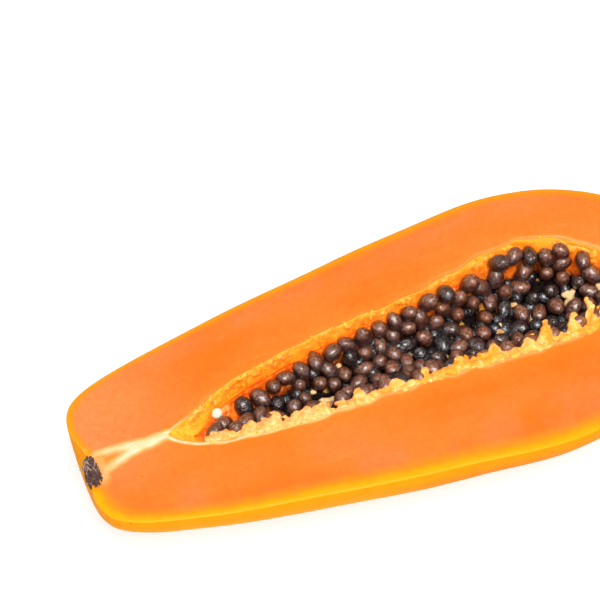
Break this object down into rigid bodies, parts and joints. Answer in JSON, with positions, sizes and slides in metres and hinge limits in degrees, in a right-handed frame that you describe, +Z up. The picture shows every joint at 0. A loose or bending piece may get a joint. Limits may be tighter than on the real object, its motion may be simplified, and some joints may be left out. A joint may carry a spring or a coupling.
{
  "type": "papaya half",
  "caption": "Ripe papaya cut lengthwise and lying on its back, with orange flesh, yellow skin and a long hollow lined with dark seeds.",
  "frame": {"origin": "centre of the bounding box's bottom face, on the surface that the half rests on", "axes": "+X from the stem end to the blossom end, +Y across the cut face, +Z up out of the cut face"},
  "size_m": [0.2362, 0.105, 0.0526],
  "materials": {
    "flesh": "moist cut fruit flesh, satin",
    "skin": "thin smooth ripe skin, satin, yellow to orange with olive zones",
    "placenta": "moist torn fibres, satin",
    "seed_coat": "wet wrinkled seed coat, glossy",
    "white_seed": "moist, smooth",
    "dry_scar": "dry, fibrous, dull"
  },
  "bodies": {
    "root": {"papaya_half": "flesh", "seeds": "seed_coat", "pale_seed": "white_seed", "stem_scar": "dry_scar"}
  },
  "joints": []
}
